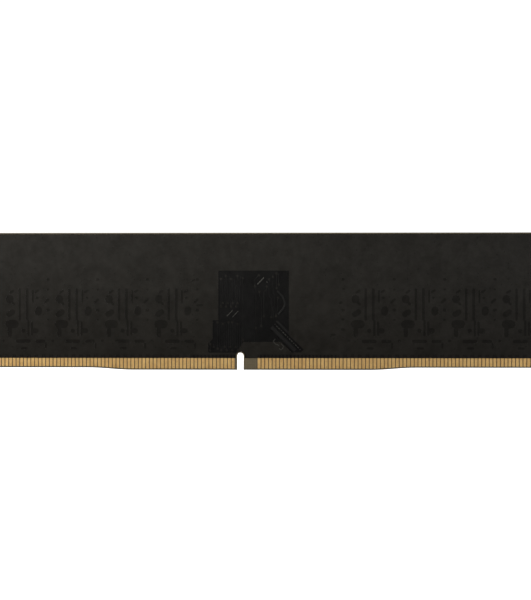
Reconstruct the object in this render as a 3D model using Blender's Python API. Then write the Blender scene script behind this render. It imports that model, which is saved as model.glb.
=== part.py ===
"""A desktop memory module: a 288-contact circuit board with eight memory packages on one face.

Frame: +X runs along the board, -Y is the bare face, +Y is the face that carries the parts, and +Z points
out of the socket. The origin is the middle of the contact edge, at half the board's thickness.

All sizes are in millimetres. They become metres in two places only: plate() and block().
"""

import math

import bmesh
import bpy

MM = 0.001
COLLECTION = "memory_module"

# The board's outline
LENGTH = 133.35
HEIGHT = 31.25
TOP_CORNER = 0.5
BOTTOM_CORNER = 1.0
EDGE_STEP = 0.5  # the middle of the contact edge hangs this much lower than its two ends
STEP_LEFT = (30.175, 40.375)  # the step's start and end, as distances from the board's middle
STEP_RIGHT = (24.225, 34.425)
KEY_X = -5.575
KEY_WIDTH = 1.5
KEY_TOP = 3.9
LATCH_DEPTH = 2.2
LATCH_HEIGHT = 3.0
LATCH_CORNER = 0.75
LATCH_BOTTOMS = (8.0, 14.6)

# The stack, from the board's middle plane outwards. GAP keeps neighbouring layers from touching.
GAP = 0.01
MIDDLE_LAMINATE = 0.41
OUTER_LAMINATE = 0.42
COPPER = 0.03
MASK = 0.02  # over copper
PLANE_RECESS = 0.05
EDGE_CHAMFER = 0.25
PLANE_INSET = 2.7
PLANE_BOTTOM = 4.6

# Contacts
PITCH = 0.85
CONTACT_WIDTH = 0.6
CONTACT_START = 0.28  # above the contact edge
CONTACT_STRIP = (2.6, 2.9)  # the covered strip that holds a row together
SHORT_ROW = (67, -7.225, -1)  # number of contacts, the one nearest the key, the way the row runs
LONG_ROW = (77, -1.275, 1)
MASK_BOTTOM = 2.65

# Outer copper
COPPER_BOTTOM = 3.1
KEY_CLEARANCE = 0.5
WINDOW = (-10.6, 6.3, 5.9, 22.7)  # the opening behind the middle of the board: left, bottom, right, top
SLIT_OFFSET = 0.7
SLIT_WIDTH = 0.5
SLIT_SPAN = (11.3, 18.6)

# Memory packages
PACKAGE_XS = [-55.3, -43.9, -32.5, -21.1, 23.8, 35.2, 46.6, 58.0]
PACKAGE_Z = 13.6
PACKAGE_WIDTH = 7.5
PACKAGE_HEIGHT = 11.0
BALL_FIELD = (6.9, 10.1, 0.24)
SUBSTRATE = 0.2
MOULD = 0.62
MOULD_WALL = 1.0
DIE_CLEARANCE = 0.1
DIE = 0.2

# Small parts
SPD_X, SPD_Z = -2.3, 14.2
SPD_SIZE = (3.0, 2.0, 0.6)
SPD_WALL = 0.3
SPD_PAD = (2.2, 1.2, 0.12)
SPD_DIE = (1.2, 0.9, 0.18)
ARRAY_SIZE = (3.8, 1.6, 0.45)
ARRAY_Z = 5.1
TERMINATION_X = 64.2
TERMINATION_ZS = (21.0, 25.4)
CAPACITOR_SIZE = (2.0, 1.25, 0.85)
CAPACITOR_PLACES = ((-13.8, 25.6), (12.2, 25.6))

ARC_STEPS = 3
KEY_STEPS = 10
STEP_STEPS = 8


# ---- Scene and materials ----


def clear_scene():
    for old in list(bpy.data.objects):
        bpy.data.objects.remove(old, do_unlink=True)


def new_collection(name):
    made = bpy.data.collections.new(name)
    bpy.context.scene.collection.children.link(made)
    return made


def new_material(name, colour, roughness, metallic=0.0):
    made = bpy.data.materials.new(name)
    made.use_nodes = True
    shader = made.node_tree.nodes["Principled BSDF"]
    shader.inputs["Base Color"].default_value = (*colour, 1.0)
    shader.inputs["Roughness"].default_value = roughness
    shader.inputs["Metallic"].default_value = metallic
    made.diffuse_color = (*colour, 1.0)
    return made


def add_object(name, mesh, location, material):
    """A part of the module. Copies may share one mesh."""
    made = bpy.data.objects.new(name, mesh)
    made.location = [value * MM for value in location]
    if not mesh.materials:
        mesh.materials.append(material)
    parts.objects.link(made)
    made.parent = root
    return made


# ---- Outlines, as lists of (x, z) points ----


def arc(centre_x, centre_z, radius, start, end, steps=ARC_STEPS):
    """Points along an arc. Angles are in degrees, counter-clockwise from +X."""
    angles = [math.radians(start + (end - start) * i / steps) for i in range(steps + 1)]
    return [(centre_x + radius * math.cos(a), centre_z + radius * math.sin(a)) for a in angles]


def edge_height(x):
    """The contact edge's height: flat in the middle and at the ends, with an S-curve between them."""
    start, end = STEP_RIGHT if x > 0 else STEP_LEFT
    share = min(max((abs(x) - start) / (end - start), 0.0), 1.0)
    return EDGE_STEP * (1 - math.cos(math.pi * share)) / 2


def step_points(start, end, side):
    """Points along one S-curve of the contact edge, from the middle outwards."""
    xs = [side * (start + (end - start) * i / STEP_STEPS) for i in range(STEP_STEPS + 1)]
    return [(x, edge_height(x)) for x in xs]


def key_points(clearance=0.0):
    """The key notch's arch, from its left side to its right side."""
    radius = KEY_WIDTH / 2 + clearance
    return arc(KEY_X, KEY_TOP - KEY_WIDTH / 2, radius, 180, 0, KEY_STEPS)


def side_points(inset):
    """The right side from bottom to top, with its two latch notches."""
    side = LENGTH / 2 - inset
    depth = LENGTH / 2 - LATCH_DEPTH - inset
    corner = LATCH_CORNER + inset
    points = []
    for bottom in LATCH_BOTTOMS:
        low = bottom - inset
        high = bottom + LATCH_HEIGHT + inset
        points.append((side, low))
        points += arc(depth + corner, low + corner, corner, 270, 180)
        points += arc(depth + corner, high - corner, corner, 180, 90)
        points.append((side, high))
    return points


def mirrored(points):
    return [(-x, z) for x, z in reversed(points)]


def upper_points(inset):
    """Everything above the contact edge: right side, top corners and left side, counter-clockwise."""
    top = arc(LENGTH / 2 - inset - TOP_CORNER, HEIGHT - inset - TOP_CORNER, TOP_CORNER, 0, 90)
    right = side_points(inset) + top
    return right + mirrored(right)


def board_outline():
    """The whole board, counter-clockwise from the bottom left corner."""
    left_corner = mirrored(
        arc(LENGTH / 2 - BOTTOM_CORNER, EDGE_STEP + BOTTOM_CORNER, BOTTOM_CORNER, 270, 360)
    )
    right_corner = mirrored(left_corner)
    half_key = KEY_WIDTH / 2
    bottom = left_corner + step_points(*STEP_LEFT, -1)[::-1]
    bottom += [(KEY_X - half_key, 0.0), *key_points(), (KEY_X + half_key, 0.0)]
    bottom += step_points(*STEP_RIGHT, 1) + right_corner
    return bottom + upper_points(0.0)


def key_gap(bottom, clearance):
    """The cut that clears the key notch in a layer whose bottom is straight."""
    half = KEY_WIDTH / 2 + clearance
    return [(KEY_X - half, bottom), *key_points(clearance), (KEY_X + half, bottom)]


def mask_outline():
    """The board's outline above the contacts."""
    side = LENGTH / 2 - GAP
    return [(-side, MASK_BOTTOM), *key_gap(MASK_BOTTOM, GAP), (side, MASK_BOTTOM), *upper_points(GAP)]


def layer_outline(inset, bottom, top):
    """A plain copper layer with room for the key notch."""
    side = LENGTH / 2 - inset
    return [(-side, bottom), *key_gap(bottom, KEY_CLEARANCE), (side, bottom), (side, top), (-side, top)]


def rectangle(left, bottom, right, top):
    return [(left, bottom), (right, bottom), (right, top), (left, top)]


def contact_outline(count, first_x, side):
    """A row of contacts, joined at the top by the strip that the mask covers."""
    half = CONTACT_WIDTH / 2
    low, high = CONTACT_STRIP
    xs = sorted(first_x + side * PITCH * i for i in range(count))
    points = []
    for x in xs:
        points += [(x - half, low), (x - half, edge_height(x - half) + CONTACT_START)]
        points += [(x + half, edge_height(x + half) + CONTACT_START), (x + half, low)]
    points[0] = (xs[0] - half, high)
    points[-1] = (xs[-1] + half, high)
    return points


# ---- Solids ----


def widen_triangles(shape):
    """Divides a plate's two flat faces again, because the filled curve joins level points with slivers."""
    flat = []
    for face in shape.faces:
        heights = [vertex.co.z for vertex in face.verts]
        if max(heights) - min(heights) < GAP * MM / 10:
            flat.append(face)
    inner = [edge for edge in shape.edges if all(face in flat for face in edge.link_faces)]
    bmesh.ops.beautify_fill(shape, faces=flat, edges=inner, method="ANGLE")


def plate(name, loops, y_low, y_high, material, collection=None):
    """A flat piece between two heights in Y. The first loop is its outline, and the others are holes."""
    curve = bpy.data.curves.new(name + "_outline", "CURVE")
    curve.dimensions = "2D"
    curve.fill_mode = "BOTH"
    curve.extrude = (y_high - y_low) / 2 * MM
    for loop in loops:
        spline = curve.splines.new("POLY")
        spline.points.add(len(loop) - 1)
        spline.use_cyclic_u = True
        for point, (x, z) in zip(spline.points, loop):
            point.co = (x * MM, z * MM, 0.0, 1.0)
    guide = bpy.data.objects.new(name + "_outline", curve)
    guide.location.y = (y_low + y_high) / 2 * MM
    guide.rotation_euler.x = math.pi / 2
    parts.objects.link(guide)
    bpy.context.view_layer.update()

    graph = bpy.context.evaluated_depsgraph_get()
    mesh = bpy.data.meshes.new_from_object(guide.evaluated_get(graph))
    mesh.name = name
    mesh.materials.clear()
    mesh.materials.append(material)
    shape = bmesh.new()
    shape.from_mesh(mesh)
    bmesh.ops.remove_doubles(shape, verts=shape.verts, dist=GAP * MM / 100)
    widen_triangles(shape)
    bmesh.ops.recalc_face_normals(shape, faces=shape.faces)
    shape.to_mesh(mesh)
    shape.free()

    made = bpy.data.objects.new(name, mesh)
    made.matrix_world = guide.matrix_world
    (collection or parts).objects.link(made)
    made.parent = root
    bpy.data.objects.remove(guide, do_unlink=True)
    return made


def cut_recess(target, name, loop, y_low, y_high):
    """Cuts a flat recess out of a plate."""
    cutter = plate(name, [loop], y_low, y_high, cutter_material, cutters)
    cutter.hide_render = True
    cutter.display_type = "WIRE"
    modifier = target.modifiers.new(name, "BOOLEAN")
    modifier.operation = "DIFFERENCE"
    modifier.solver = "EXACT"
    modifier.object = cutter


def chamfer_contact_edge(laminate, side):
    """Lifts the contact edge on the outer face, so that the board slides into its socket.

    The plate's own Y is the board's height, and its own Z points the opposite way to the board's Y.
    """
    for vertex in laminate.data.vertices:
        x, z = vertex.co.x / MM, vertex.co.y / MM
        rise = (z - edge_height(x)) / BOTTOM_CORNER
        if vertex.co.z * side < 0 and rise < 1:
            vertex.co.y += EDGE_CHAMFER * (1 - rise) * MM


def block(name, size, pocket=None):
    """A mesh for a box of the size (x, z, thickness), centred in X and Z, from y = 0 outwards.

    A pocket of (wall, depth) opens towards the board.
    """
    width, height, thickness = size
    shape = bmesh.new()
    bmesh.ops.create_cube(shape, size=1.0)
    bmesh.ops.translate(shape, verts=shape.verts, vec=(0.0, 0.5, 0.0))
    bmesh.ops.scale(shape, verts=shape.verts, vec=(width * MM, thickness * MM, height * MM))
    if pocket:
        wall, depth = pocket
        floor = min(shape.faces, key=lambda face: face.calc_center_median().y)
        bmesh.ops.inset_individual(shape, faces=[floor], thickness=wall * MM)
        raised = bmesh.ops.extrude_face_region(shape, geom=[floor])["geom"]
        corners = [item for item in raised if isinstance(item, bmesh.types.BMVert)]
        bmesh.ops.translate(shape, verts=corners, vec=(0.0, depth * MM, 0.0))
        bmesh.ops.delete(shape, geom=[floor], context="FACES_ONLY")
    bmesh.ops.recalc_face_normals(shape, faces=shape.faces)
    mesh = bpy.data.meshes.new(name)
    shape.to_mesh(mesh)
    shape.free()
    return mesh


# ---- The board ----


def make_laminates():
    """Three sheets of glass laminate. The middle one is recessed on both faces for the copper planes."""
    inner = MIDDLE_LAMINATE / 2
    outer = inner + GAP
    outline = board_outline()
    middle = plate("laminate_middle", [outline], -inner, inner, laminate_material)
    recess_side = LENGTH / 2 - PLANE_INSET + GAP
    recess = rectangle(
        -recess_side, PLANE_BOTTOM - GAP, recess_side, HEIGHT - KEY_CLEARANCE + GAP
    )
    floor = inner - PLANE_RECESS
    cut_recess(middle, "power_plane_recess", recess, floor, inner + 1)
    cut_recess(middle, "ground_plane_recess", recess, -inner - 1, -floor)

    back = plate("laminate_back", [outline], -outer - OUTER_LAMINATE, -outer, laminate_material)
    front = plate("laminate_front", [outline], outer, outer + OUTER_LAMINATE, laminate_material)
    chamfer_contact_edge(back, -1)
    chamfer_contact_edge(front, 1)
    return outer + OUTER_LAMINATE


def make_planes():
    """The two sheets of copper inside the board, each in its recess."""
    side = LENGTH / 2 - PLANE_INSET
    outline = rectangle(-side, PLANE_BOTTOM, side, HEIGHT - KEY_CLEARANCE)
    low = MIDDLE_LAMINATE / 2 - PLANE_RECESS + GAP
    plate("ground_plane", [outline], -low - COPPER, -low, copper_material)
    plate("power_plane", [outline], low, low + COPPER, copper_material)


def make_contacts(surface):
    low = surface + GAP
    for row_name, row in (("short", SHORT_ROW), ("long", LONG_ROW)):
        outline = contact_outline(*row)
        plate(f"back_contacts_{row_name}_row", [outline], -low - COPPER, -low, gold_material)
        plate(f"front_contacts_{row_name}_row", [outline], low, low + COPPER, gold_material)


def make_outer_copper(surface):
    """The two outer copper layers. The back one is open behind the middle and behind each package."""
    low = surface + GAP
    outline = layer_outline(PLANE_INSET, COPPER_BOTTOM, HEIGHT - KEY_CLEARANCE)
    openings = [rectangle(*WINDOW)]
    bottom, top = SLIT_SPAN
    for package_x in PACKAGE_XS:
        for side in (-1, 1):
            middle = package_x + side * SLIT_OFFSET
            openings.append(
                rectangle(middle - SLIT_WIDTH / 2, bottom, middle + SLIT_WIDTH / 2, top)
            )
    plate("back_copper_layer", [outline, *openings], -low - COPPER, -low, copper_material)
    plate("front_copper_layer", [outline], low, low + COPPER, copper_material)


def make_masks(surface):
    """The black solder mask on each face, recessed for the copper under it and open at the contacts."""
    low = surface + GAP
    ceiling = low + COPPER + GAP / 2
    top = ceiling + MASK
    recess_side = LENGTH / 2 - PLANE_INSET + GAP
    recess = [
        (-recess_side, MASK_BOTTOM - 1),
        *key_gap(MASK_BOTTOM - 1, KEY_CLEARANCE - 2 * GAP),
        (recess_side, MASK_BOTTOM - 1),
        (recess_side, HEIGHT - KEY_CLEARANCE + GAP),
        (-recess_side, HEIGHT - KEY_CLEARANCE + GAP),
    ]
    for name, side in (("back_solder_mask", -1), ("front_solder_mask", 1)):
        faces = sorted((side * low, side * top))
        mask = plate(name, [mask_outline()], *faces, mask_material)
        cut_recess(mask, name + "_recess", recess, *sorted((side * ceiling, side * (low - 1))))
    return top


# ---- The parts on the front face ----


def make_packages(surface):
    """Eight memory packages: the solder balls' field, the substrate, the die and the moulded cap."""
    width, height, field = BALL_FIELD
    substrate_y = surface + GAP + field + GAP
    mould_y = substrate_y + SUBSTRATE + GAP
    pocket = (MOULD_WALL, DIE + 3 * GAP)
    die_size = (
        PACKAGE_WIDTH - 2 * MOULD_WALL - 2 * DIE_CLEARANCE,
        PACKAGE_HEIGHT - 2 * MOULD_WALL - 2 * DIE_CLEARANCE,
        DIE,
    )
    pieces = (
        ("solder_balls", block("solder_balls", (width, height, field)), surface + GAP, solder_material),
        ("substrate", block("substrate", (PACKAGE_WIDTH, PACKAGE_HEIGHT, SUBSTRATE)), substrate_y,
         substrate_material),
        ("die", block("die", die_size), mould_y + GAP, silicon_material),
        ("mould_cap", block("mould_cap", (PACKAGE_WIDTH, PACKAGE_HEIGHT, MOULD), pocket), mould_y,
         mould_material),
    )
    for number, x in enumerate(PACKAGE_XS, 1):
        for name, mesh, y, material in pieces:
            add_object(f"dram_{number}_{name}", mesh, (x, y, PACKAGE_Z), material)


def make_spd_chip(surface):
    """The small chip that holds the module's description: its die pad, its die and its moulded body."""
    pad_y = surface + 2 * GAP
    die_y = pad_y + SPD_PAD[2] + GAP
    depth = die_y + SPD_DIE[2] + GAP - (surface + GAP)
    body = block("spd_chip_body", SPD_SIZE, (SPD_WALL, depth))
    add_object("spd_chip_body", body, (SPD_X, surface + GAP, SPD_Z), mould_material)
    pad = block("spd_chip_die_pad", SPD_PAD)
    add_object("spd_chip_die_pad", pad, (SPD_X, pad_y, SPD_Z), solder_material)
    die = block("spd_chip_die", SPD_DIE)
    add_object("spd_chip_die", die, (SPD_X, die_y, SPD_Z), silicon_material)


def make_passives(surface):
    """Resistor arrays under the packages and at the end of the address bus, and two large capacitors."""
    y = surface + GAP
    flat_array = block("resistor_array", ARRAY_SIZE)
    for number, x in enumerate(PACKAGE_XS, 1):
        add_object(f"data_resistor_array_{number}", flat_array, (x, y, ARRAY_Z), ceramic_material)
    upright_size = (ARRAY_SIZE[1], ARRAY_SIZE[0], ARRAY_SIZE[2])
    upright_array = block("upright_resistor_array", upright_size)
    for number, z in enumerate(TERMINATION_ZS, 1):
        name = f"termination_resistor_array_{number}"
        add_object(name, upright_array, (TERMINATION_X, y, z), ceramic_material)
    capacitor = block("bulk_capacitor", CAPACITOR_SIZE)
    for number, (x, z) in enumerate(CAPACITOR_PLACES, 1):
        add_object(f"bulk_capacitor_{number}", capacitor, (x, y, z), capacitor_material)


clear_scene()
parts = new_collection(COLLECTION)
cutters = new_collection("cutters")
root = bpy.data.objects.new("memory_module_origin", None)
parts.objects.link(root)

laminate_material = new_material("glass_laminate", (0.20, 0.17, 0.10), 0.55)
copper_material = new_material("copper", (0.72, 0.38, 0.22), 0.35, 1.0)
gold_material = new_material("gold_plating", (0.83, 0.62, 0.28), 0.28, 1.0)
mask_material = new_material("black_solder_mask", (0.025, 0.024, 0.021), 0.42)
mould_material = new_material("mould_compound", (0.03, 0.03, 0.032), 0.6)
substrate_material = new_material("package_substrate", (0.03, 0.06, 0.035), 0.5)
silicon_material = new_material("silicon", (0.25, 0.26, 0.30), 0.15, 0.6)
solder_material = new_material("solder", (0.66, 0.66, 0.67), 0.3, 1.0)
ceramic_material = new_material("resistor_ceramic", (0.05, 0.05, 0.05), 0.5)
capacitor_material = new_material("capacitor_ceramic", (0.42, 0.31, 0.20), 0.5)
cutter_material = new_material("cutter", (0.8, 0.2, 0.2), 0.5)

laminate_surface = make_laminates()
make_planes()
make_contacts(laminate_surface)
make_outer_copper(laminate_surface)
mask_surface = make_masks(laminate_surface)
make_packages(mask_surface)
make_spd_chip(mask_surface)
make_passives(mask_surface)
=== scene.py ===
"""The looks of a desktop memory module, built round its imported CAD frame.

The bare back face looks along -Y and is the one that the camera sees. The parts are on the +Y face.
Places come from the CAD nodes' boxes. Lengths are in millimetres, and become metres where a mesh is made.
"""

import math
import random

import bmesh
import bpy
from mathutils import Matrix, Vector


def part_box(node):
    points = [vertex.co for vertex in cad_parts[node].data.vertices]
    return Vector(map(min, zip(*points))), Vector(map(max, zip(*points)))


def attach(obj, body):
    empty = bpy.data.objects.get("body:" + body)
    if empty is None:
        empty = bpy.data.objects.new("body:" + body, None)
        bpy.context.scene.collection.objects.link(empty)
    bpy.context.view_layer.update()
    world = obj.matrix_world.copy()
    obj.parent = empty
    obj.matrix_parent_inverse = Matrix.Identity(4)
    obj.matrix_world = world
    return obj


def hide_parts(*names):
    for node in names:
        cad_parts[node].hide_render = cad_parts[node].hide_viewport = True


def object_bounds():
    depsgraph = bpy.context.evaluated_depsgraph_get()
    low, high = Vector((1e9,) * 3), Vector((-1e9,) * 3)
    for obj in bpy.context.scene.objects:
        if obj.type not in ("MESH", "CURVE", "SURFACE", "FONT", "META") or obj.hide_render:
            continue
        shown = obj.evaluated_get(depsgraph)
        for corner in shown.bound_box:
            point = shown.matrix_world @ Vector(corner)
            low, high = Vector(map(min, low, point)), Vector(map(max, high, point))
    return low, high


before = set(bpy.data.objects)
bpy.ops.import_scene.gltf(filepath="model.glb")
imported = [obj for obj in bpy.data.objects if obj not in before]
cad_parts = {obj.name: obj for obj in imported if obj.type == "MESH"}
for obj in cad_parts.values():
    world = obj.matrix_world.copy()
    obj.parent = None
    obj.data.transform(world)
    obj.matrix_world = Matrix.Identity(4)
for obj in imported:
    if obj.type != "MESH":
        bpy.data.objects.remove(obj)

MM = 0.001
BACK, FRONT = -1, 1  # the two faces, as the sign of their Y
WHITE = (1.0, 1.0, 1.0, 1.0)
SMOOTH_ANGLE = math.radians(38)  # edges that are sharper than this stay sharp

cad_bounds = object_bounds()
draws = random.Random(288)


def box_mm(node):
    """A CAD node's lowest and highest corners, in millimetres."""
    low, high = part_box(node)
    return low / MM, high / MM


# ---- Places, from the CAD frame ----

BOARD_LOW, BOARD_HIGH = box_mm("laminate_middle")
HALF_LENGTH = BOARD_HIGH.x
BOARD_TOP = BOARD_HIGH.z
LAMINATE_Y = box_mm("laminate_front")[1].y
COPPER_Y = box_mm("front_copper_layer")[1].y
MASK_Y = box_mm("front_solder_mask")[1].y
MASK_BOTTOM = box_mm("back_solder_mask")[0].z
PACKAGES = [box_mm(f"dram_{number}_mould_cap") for number in range(1, 9)]
PACKAGE_XS = [(low.x + high.x) / 2 for low, high in PACKAGES]
PACKAGE_Z = (PACKAGES[0][0].z + PACKAGES[0][1].z) / 2
PACKAGE_WIDTH = PACKAGES[0][1].x - PACKAGES[0][0].x
PACKAGE_HEIGHT = PACKAGES[0][1].z - PACKAGES[0][0].z

# ---- Sizes that the frame's boxes don't give, as in the CAD ----

PITCH = 0.85
CONTACT_WIDTH = 0.6
CONTACT_FOOT = 0.03  # a contact's etched side slopes out this far
CONTACT_START = 0.28
CONTACT_ROWS = {"short": (67, -7.225, -1), "long": (77, -1.275, 1)}
EDGE_STEP = 0.5
STEP_LEFT = (30.175, 40.375)
STEP_RIGHT = (24.225, 34.425)
KEY_X = -5.575
KEY_RADIUS = 0.75
KEY_CENTRE_Z = 3.15
LATCH_DEPTH = 2.2
LATCH_SPANS = ((8.0, 11.0), (14.6, 17.6))
LATCH_CORNER = 0.75
TOP_CORNER = 0.5


# ---- Camera, floor and light ----

VIEW_WIDTH = 0.12096  # metres of board that the picture's width takes in
VIEW_ASPECT = 600 / 531
CAMERA_DISTANCE = 0.6
CAMERA_AZIMUTH = math.radians(2.6)  # the right end is a little nearer than the left end
CAMERA_TARGET = Vector((0.18 * MM, -MASK_Y * MM, 15.91 * MM))
SENSOR = 36.0


def add_object(name, data):
    item = bpy.data.objects.new(name, data)
    bpy.context.scene.collection.objects.link(item)
    return item


def make_camera():
    data = bpy.data.cameras.new("camera")
    data.sensor_width = SENSOR
    data.lens = SENSOR * CAMERA_DISTANCE / (VIEW_WIDTH * VIEW_ASPECT)
    data.clip_start = 0.01
    data.clip_end = 50.0
    camera = add_object("camera", data)
    away = Vector((math.sin(CAMERA_AZIMUTH), -math.cos(CAMERA_AZIMUTH), 0.0))
    camera.location = CAMERA_TARGET + away * CAMERA_DISTANCE
    camera.rotation_euler = (-away).to_track_quat("-Z", "Y").to_euler()
    bpy.context.scene.camera = camera


def area_light(name, place, aim, size, power, colour=(1.0, 1.0, 1.0)):
    data = bpy.data.lights.new(name, "AREA")
    data.shape = "RECTANGLE"
    data.size, data.size_y = size
    data.energy = power
    data.color = colour
    light = add_object(name, data)
    light.location = place
    light.rotation_euler = (Vector(aim) - Vector(place)).to_track_quat("-Z", "Y").to_euler()
    light.visible_camera = False


WARM = (1.0, 0.96, 0.88)


def make_lights():
    middle = (0.0, 0.0, 0.015)
    area_light("key_softbox", (-0.08, -0.20, 0.15), (-0.04, 0.0, 0.03), (0.10, 0.03), 0.42, WARM)
    area_light("left_softbox", (-0.24, -0.42, 0.13), (-0.04, 0.0, 0.02), (0.2, 0.1), 0.35, WARM)
    area_light("right_softbox", (0.25, -0.45, 0.12), middle, (0.3, 0.3), 0.38)
    area_light("back_softbox", (0.30, 0.45, 0.22), middle, (0.4, 0.3), 3.2)
    area_light("back_left_softbox", (-0.35, 0.40, 0.15), middle, (0.2, 0.3), 1.6)
    area_light("top_softbox", (0.0, 0.05, 0.6), middle, (0.5, 0.3), 1.4)


def set_inputs(node, inputs):
    """Gives a shader node's inputs their constants, or links them to other nodes' outputs."""
    for name, value in inputs.items():
        if isinstance(value, bpy.types.NodeSocket):
            node.id_data.links.new(value, node.inputs[name])
        else:
            node.inputs[name].default_value = value


def add_node(tree, kind, inputs, **settings):
    """A new shader node, with these inputs, and with these settings of its own."""
    node = tree.nodes.new(f"ShaderNode{kind}")
    for name, value in settings.items():
        setattr(node, name, value)
    set_inputs(node, inputs)
    return node


def ranged(factor, from_low, from_high, low, high):
    """A factor that is stretched from one range to another."""
    limits = {"From Min": from_low, "From Max": from_high, "To Min": low, "To Max": high}
    return add_node(factor.id_data, "MapRange", {"Value": factor, **limits}).outputs["Result"]


def combined(operation, first, second):
    """A factor and a number, or two factors, put together by a Math node."""
    inputs = {0: first, 1: second}
    return add_node(first.id_data, "Math", inputs, operation=operation).outputs["Value"]


def added(first, second):
    return combined("ADD", first, second)


def multiplied(first, second):
    return combined("MULTIPLY", first, second)


STUDIO_GREYS = (0.10, 0.36)  # the studio's light from straight below, and from straight above
STUDIO_TINT = (1.0, 0.98, 0.95, 1.0)
PAPER_GLOW = 1.1


def make_world():
    """White where the camera looks past the object, and a grey studio in what the object reflects."""
    world = bpy.data.worlds.new("studio")
    bpy.context.scene.world = world
    world.use_nodes = True
    tree = world.node_tree
    tree.nodes.clear()
    direction = add_node(tree, "TexCoord", {}).outputs["Generated"]
    height = add_node(tree, "SeparateXYZ", {"Vector": direction}).outputs["Z"]
    grey = ranged(height, -1.0, 1.0, *STUDIO_GREYS)
    studio = add_node(tree, "Background", {"Color": STUDIO_TINT, "Strength": grey})
    paper = add_node(tree, "Background", {"Color": WHITE, "Strength": PAPER_GLOW})
    seen = add_node(tree, "LightPath", {}).outputs["Is Camera Ray"]
    mix = add_node(tree, "MixShader", {0: seen, 1: studio.outputs[0], 2: paper.outputs[0]})
    add_node(tree, "OutputWorld", {"Surface": mix.outputs[0]})


FLOOR_GAP = 0.02  # from the floor up to the contact edge
FLOOR_WHITE = 0.88  # what the camera sees of the floor's glow
FLOOR_GLOW = 0.08  # what the object reflects of it


def make_floor():
    """A pale floor just under the contact edge. It glows enough to stay white."""
    bpy.ops.mesh.primitive_plane_add(size=6.0, location=(0.0, 0.0, cad_bounds[0].z - FLOOR_GAP * MM))
    floor = bpy.context.object
    floor.name = "floor"
    material = bpy.data.materials.new("floor")
    material.use_nodes = True
    tree = material.node_tree
    seen = add_node(tree, "LightPath", {}).outputs["Is Camera Ray"]
    looks = {
        "Base Color": (0.5, 0.5, 0.5, 1.0),
        "Roughness": 1.0,
        "Specular IOR Level": 0.0,
        "Emission Color": WHITE,
        "Emission Strength": ranged(seen, 0.0, 1.0, FLOOR_GLOW, FLOOR_WHITE),
    }
    set_inputs(tree.nodes["Principled BSDF"], looks)
    floor.data.materials.append(material)


# ---- Materials ----


class Recipe:
    """A Principled material that is put together from procedural nodes."""

    def __init__(self, name, roughness, metallic=0.0, specular=0.5):
        self.material = bpy.data.materials.new(name)
        self.material.use_nodes = True
        self.tree = self.material.node_tree
        self.shader = self.tree.nodes["Principled BSDF"]
        self.place = add_node(self.tree, "TexCoord", {}).outputs["Object"]
        looks = {"Roughness": roughness, "Metallic": metallic, "Specular IOR Level": specular}
        set_inputs(self.shader, looks)

    def texture(self, kind, feature_mm, stretch, inputs, **settings):
        """A texture whose features are about this many millimetres across."""
        size = 1.0 / (feature_mm * MM)
        scale = [size * share for share in stretch]
        place = add_node(self.tree, "Mapping", {"Vector": self.place, "Scale": scale})
        inputs = {"Vector": place.outputs["Vector"], **inputs}
        return add_node(self.tree, kind, inputs, **settings).outputs["Fac"]

    def noise(self, feature_mm, detail=3.0, stretch=(1.0, 1.0, 1.0)):
        inputs = {"Scale": 1.0, "Detail": detail, "Roughness": 0.6}
        return self.texture("TexNoise", feature_mm, stretch, inputs)

    def stripes(self, pitch_mm, axis):
        """Even waves along X, Y or Z."""
        inputs = {"Scale": 2 * math.pi / 20, "Distortion": 0.35, "Detail": 1.0}
        return self.texture("TexWave", pitch_mm, (1.0, 1.0, 1.0), inputs, bands_direction=axis)

    def height(self):
        """How far up the board a point is, in metres."""
        return add_node(self.tree, "SeparateXYZ", {"Vector": self.place}).outputs["Z"]

    def weave(self):
        """The crossing bundles of glass cloth, from 0 to 1."""
        return multiplied(self.stripes(0.48, "X"), self.stripes(0.40, "Z"))

    def colour(self, factor, stops):
        """Colours the surface between two (position, colour) stops of the factor."""
        node = add_node(self.tree, "ValToRGB", {"Fac": factor})
        for element, (position, colour) in zip(node.color_ramp.elements, stops):
            element.position = position
            element.color = (*colour, 1.0)
        set_inputs(self.shader, {"Base Color": node.outputs["Color"]})

    def rough(self, factor, low, high):
        set_inputs(self.shader, {"Roughness": ranged(factor, 0.3, 0.7, low, high)})

    def bump(self, factor, depth_mm, strength):
        inputs = {"Height": factor, "Distance": depth_mm * MM, "Strength": strength}
        normal = add_node(self.tree, "Bump", inputs).outputs["Normal"]
        set_inputs(self.shader, {"Normal": normal})


MOTTLING = 0.15  # how much the solder mask's shine varies from place to place
PAINTED_HIGHLIGHT_HEIGHTS = (3.0 * MM, 24.0 * MM)  # just above the contacts, and near the top edge
PAINTED_HIGHLIGHT_BY_HEIGHT = (0.70, 1.16)  # the mask's shine at those heights: a painted highlight that grows towards the top edge, where the light falls stronger


def mask_material(name, dark, light, specular, low, high):
    """Black solder mask: a thin coat over the weave of the board, a little uneven in colour and gloss,
    with a painted highlight that makes its gloss stronger towards the top edge.
    """
    recipe = Recipe(name, 0.4, specular=specular)
    patches = multiplied(added(recipe.noise(5.0), recipe.noise(1.2)), 0.5)
    recipe.colour(patches, [(0.38, dark), (0.62, light)])
    mottled = ranged(patches, 0.35, 0.65, 1 - MOTTLING, 1 + MOTTLING)
    # painted highlight: the shine is graded from just above the contacts up to the top edge, standing in
    # for the light from above
    painted_highlight_grade = ranged(recipe.height(), *PAINTED_HIGHLIGHT_HEIGHTS, *PAINTED_HIGHLIGHT_BY_HEIGHT)
    shine = multiplied(multiplied(mottled, painted_highlight_grade), specular)
    set_inputs(recipe.shader, {"Specular IOR Level": shine})
    recipe.rough(recipe.noise(1.8, 4.0), low, high)
    recipe.bump(added(recipe.weave(), recipe.noise(0.12, 2.0)), 0.004, 0.5)
    return recipe.material


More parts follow.
